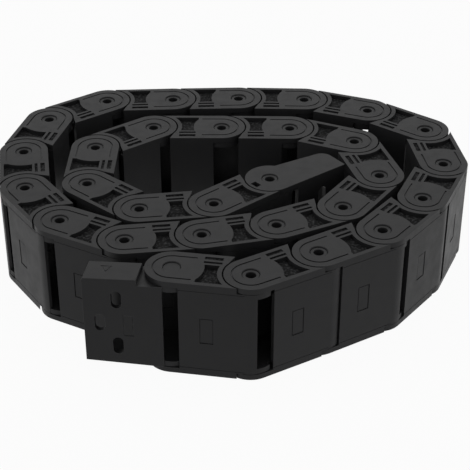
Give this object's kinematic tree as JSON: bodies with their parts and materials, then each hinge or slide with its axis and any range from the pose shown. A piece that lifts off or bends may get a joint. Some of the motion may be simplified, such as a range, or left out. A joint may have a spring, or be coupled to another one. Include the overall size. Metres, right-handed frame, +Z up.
{
  "type": "cable drag chain",
  "caption": "Enclosed plastic cable drag chain with a bolt-on connector at each end, coiled and lying on its side.",
  "frame": {"origin": "centre of the coil's footprint, on the surface that the chain lies on", "axes": "+Z up, along the chain's width and every hinge axis; the front end connector points along -X, its bolted face looks along -Y"},
  "size_m": [0.2134, 0.174, 0.045],
  "materials": {
    "black_nylon": "matt, slightly grained, glass-filled nylon"
  },
  "bodies": {
    "front_end_connector": {"front_end_connector": "black_nylon"},
    "link_01": {"link_01": "black_nylon"},
    "link_02": {"link_02": "black_nylon"},
    "link_03": {"link_03": "black_nylon"},
    "link_04": {"link_04": "black_nylon"},
    "link_05": {"link_05": "black_nylon"},
    "link_06": {"link_06": "black_nylon"},
    "link_07": {"link_07": "black_nylon"},
    "link_08": {"link_08": "black_nylon"},
    "link_09": {"link_09": "black_nylon"},
    "link_10": {"link_10": "black_nylon"},
    "link_11": {"link_11": "black_nylon"},
    "link_12": {"link_12": "black_nylon"},
    "link_13": {"link_13": "black_nylon"},
    "link_14": {"link_14": "black_nylon"},
    "link_15": {"link_15": "black_nylon"},
    "link_16": {"link_16": "black_nylon"},
    "link_17": {"link_17": "black_nylon"},
    "link_18": {"link_18": "black_nylon"},
    "link_19": {"link_19": "black_nylon"},
    "link_20": {"link_20": "black_nylon"},
    "link_21": {"link_21": "black_nylon"},
    "link_22": {"link_22": "black_nylon"},
    "link_23": {"link_23": "black_nylon"},
    "link_24": {"link_24": "black_nylon"},
    "link_25": {"link_25": "black_nylon"},
    "link_26": {"link_26": "black_nylon"},
    "link_27": {"link_27": "black_nylon"},
    "link_28": {"link_28": "black_nylon"},
    "link_29": {"link_29": "black_nylon"},
    "inner_end_connector": {"inner_end_connector": "black_nylon"}
  },
  "joints": [
    {"name": "hinge_01", "type": "hinge", "parent": "link_01", "child": "front_end_connector", "pos_m": [-0.01769, -0.07288, 0.0225], "axis": [0, 0, 1], "range_deg": [-57.2, 2.8]},
    {"name": "hinge_02", "type": "hinge", "parent": "link_02", "child": "link_01", "pos_m": [0.01418, -0.07578, 0.0225], "axis": [0, 0, 1], "range_deg": [0, 39.4]},
    {"name": "hinge_03", "type": "hinge", "parent": "link_03", "child": "link_02", "pos_m": [0.04064, -0.05779, 0.0225], "axis": [0, 0, 1], "range_deg": [-51, 1]},
    {"name": "hinge_04", "type": "hinge", "parent": "link_04", "child": "link_03", "pos_m": [0.06679, -0.03934, 0.0225], "axis": [0, 0, 1], "range_deg": [-30.9, 21.1]},
    {"name": "hinge_05", "type": "hinge", "parent": "link_05", "child": "link_04", "pos_m": [0.08454, -0.01272, 0.0225], "axis": [0, 0, 1], "range_deg": [-37.4, 14.6]},
    {"name": "hinge_06", "type": "hinge", "parent": "link_06", "child": "link_05", "pos_m": [0.09502, 0.01752, 0.0225], "axis": [0, 0, 1], "range_deg": [-20.8, 31.2]},
    {"name": "hinge_07", "type": "hinge", "parent": "link_07", "child": "link_06", "pos_m": [0.08831, 0.04881, 0.0225], "axis": [0, 0, 1], "range_deg": [-7.2, 44.8]},
    {"name": "hinge_08", "type": "hinge", "parent": "link_08", "child": "link_07", "pos_m": [0.0615, 0.06628, 0.0225], "axis": [0, 0, 1], "range_deg": [-35.4, 16.6]},
    {"name": "hinge_09", "type": "hinge", "parent": "link_09", "child": "link_08", "pos_m": [0.03082, 0.07537, 0.0225], "axis": [0, 0, 1], "range_deg": [-33.4, 18.6]},
    {"name": "hinge_10", "type": "hinge", "parent": "link_10", "child": "link_09", "pos_m": [-0.00116, 0.0742, 0.0225], "axis": [0, 0, 1], "range_deg": [-48, 4]},
    {"name": "hinge_11", "type": "hinge", "parent": "link_11", "child": "link_10", "pos_m": [-0.03298, 0.0708, 0.0225], "axis": [0, 0, 1], "range_deg": [-51, 1]},
    {"name": "hinge_12", "type": "hinge", "parent": "link_12", "child": "link_11", "pos_m": [-0.06473, 0.06684, 0.0225], "axis": [0, 0, 1], "range_deg": [-19.3, 32.7]},
    {"name": "hinge_13", "type": "hinge", "parent": "link_13", "child": "link_12", "pos_m": [-0.08932, 0.04636, 0.0225], "axis": [0, 0, 1], "range_deg": [-12.4, 39.6]},
    {"name": "hinge_14", "type": "hinge", "parent": "link_14", "child": "link_13", "pos_m": [-0.0952, 0.0149, 0.0225], "axis": [0, 0, 1], "range_deg": [-29.1, 22.9]},
    {"name": "hinge_15", "type": "hinge", "parent": "link_14", "child": "link_15", "pos_m": [-0.08839, -0.01636, 0.0225], "axis": [0, 0, -1], "range_deg": [-25.9, 26.1]},
    {"name": "hinge_16", "type": "hinge", "parent": "link_15", "child": "link_16", "pos_m": [-0.06851, -0.04144, 0.0225], "axis": [0, 0, -1], "range_deg": [-24.4, 27.6]},
    {"name": "hinge_17", "type": "hinge", "parent": "link_16", "child": "link_17", "pos_m": [-0.03928, -0.05446, 0.0225], "axis": [0, 0, -1], "range_deg": [-16.5, 35.5]},
    {"name": "hinge_18", "type": "hinge", "parent": "link_17", "child": "link_18", "pos_m": [-0.00792, -0.04808, 0.0225], "axis": [0, 0, -1], "range_deg": [-46.1, 5.9]},
    {"name": "hinge_19", "type": "hinge", "parent": "link_18", "child": "link_19", "pos_m": [0.02262, -0.03851, 0.0225], "axis": [0, 0, -1], "range_deg": [-39.2, 12.8]},
    {"name": "hinge_20", "type": "hinge", "parent": "link_19", "child": "link_20", "pos_m": [0.05027, -0.02241, 0.0225], "axis": [0, 0, -1], "range_deg": [-22.1, 29.9]},
    {"name": "hinge_21", "type": "hinge", "parent": "link_20", "child": "link_21", "pos_m": [0.06623, 0.00533, 0.0225], "axis": [0, 0, -1], "range_deg": [-1.9, 50.1]},
    {"name": "hinge_22", "type": "hinge", "parent": "link_21", "child": "link_22", "pos_m": [0.05518, 0.03536, 0.0225], "axis": [0, 0, -1], "range_deg": [-1.3, 50.7]},
    {"name": "hinge_23", "type": "hinge", "parent": "link_22", "child": "link_23", "pos_m": [0.02494, 0.04583, 0.0225], "axis": [0, 0, -1], "range_deg": [-29.9, 22.1]},
    {"name": "hinge_24", "type": "hinge", "parent": "link_23", "child": "link_24", "pos_m": [-0.00702, 0.04416, 0.0225], "axis": [0, 0, -1], "range_deg": [-51, 1]},
    {"name": "hinge_25", "type": "hinge", "parent": "link_24", "child": "link_25", "pos_m": [-0.03894, 0.04193, 0.0225], "axis": [0, 0, -1], "range_deg": [-15.5, 36.5]},
    {"name": "hinge_26", "type": "hinge", "parent": "link_25", "child": "link_26", "pos_m": [-0.06327, 0.02114, 0.0225], "axis": [0, 0, -1], "range_deg": [0, 52]},
    {"name": "hinge_27", "type": "hinge", "parent": "link_26", "child": "link_27", "pos_m": [-0.06188, -0.01083, 0.0225], "axis": [0, 0, -1], "range_deg": [-1.4, 50.6]},
    {"name": "hinge_28", "type": "hinge", "parent": "link_27", "child": "link_28", "pos_m": [-0.03629, -0.03004, 0.0225], "axis": [0, 0, -1], "range_deg": [-3.4, 48.6]},
    {"name": "hinge_29", "type": "hinge", "parent": "link_28", "child": "link_29", "pos_m": [-0.00495, -0.02355, 0.0225], "axis": [0, 0, -1], "range_deg": [-19.3, 32.7]},
    {"name": "hinge_30", "type": "hinge", "parent": "link_29", "child": "inner_end_connector", "pos_m": [0.01791, -0.00116, 0.0225], "axis": [0, 0, -1], "range_deg": [-55, 5]}
  ],
  "couplings": [
    {"joint": "hinge_01", "follows": "hinge_02", "ratio": -0.0659},
    {"joint": "hinge_03", "follows": "hinge_02", "ratio": -0.1522},
    {"joint": "hinge_04", "follows": "hinge_02", "ratio": 0.4284},
    {"joint": "hinge_05", "follows": "hinge_02", "ratio": 0.3335},
    {"joint": "hinge_06", "follows": "hinge_02", "ratio": 0.7918},
    {"joint": "hinge_07", "follows": "hinge_02", "ratio": 1.0119},
    {"joint": "hinge_08", "follows": "hinge_02", "ratio": 0.3286},
    {"joint": "hinge_09", "follows": "hinge_02", "ratio": 0.3162},
    {"joint": "hinge_10", "follows": "hinge_02", "ratio": -0.2284},
    {"joint": "hinge_11", "follows": "hinge_02", "ratio": -0.1522},
    {"joint": "hinge_12", "follows": "hinge_02", "ratio": 0.3651},
    {"joint": "hinge_13", "follows": "hinge_02", "ratio": 0.4321},
    {"joint": "hinge_14", "follows": "hinge_02", "ratio": 0.2441},
    {"joint": "hinge_15", "follows": "hinge_02", "ratio": 0.2715},
    {"joint": "hinge_16", "follows": "hinge_02", "ratio": 0.2802},
    {"joint": "hinge_17", "follows": "hinge_02", "ratio": 0.3333},
    {"joint": "hinge_18", "follows": "hinge_02", "ratio": -0.3045},
    {"joint": "hinge_19", "follows": "hinge_02", "ratio": 0.1007},
    {"joint": "hinge_20", "follows": "hinge_02", "ratio": 0.2124},
    {"joint": "hinge_21", "follows": "hinge_02", "ratio": 0.3178},
    {"joint": "hinge_22", "follows": "hinge_02", "ratio": 0.2985},
    {"joint": "hinge_23", "follows": "hinge_02", "ratio": 0.12},
    {"joint": "hinge_24", "follows": "hinge_02", "ratio": 0.0253},
    {"joint": "hinge_25", "follows": "hinge_02", "ratio": 0.1648},
    {"joint": "hinge_26", "follows": "hinge_02", "ratio": 0.2111},
    {"joint": "hinge_27", "follows": "hinge_02", "ratio": 0.1797},
    {"joint": "hinge_28", "follows": "hinge_02", "ratio": 0.148},
    {"joint": "hinge_29", "follows": "hinge_02", "ratio": 0.0829},
    {"joint": "hinge_30", "follows": "hinge_02", "ratio": -0.006}
  ]
}
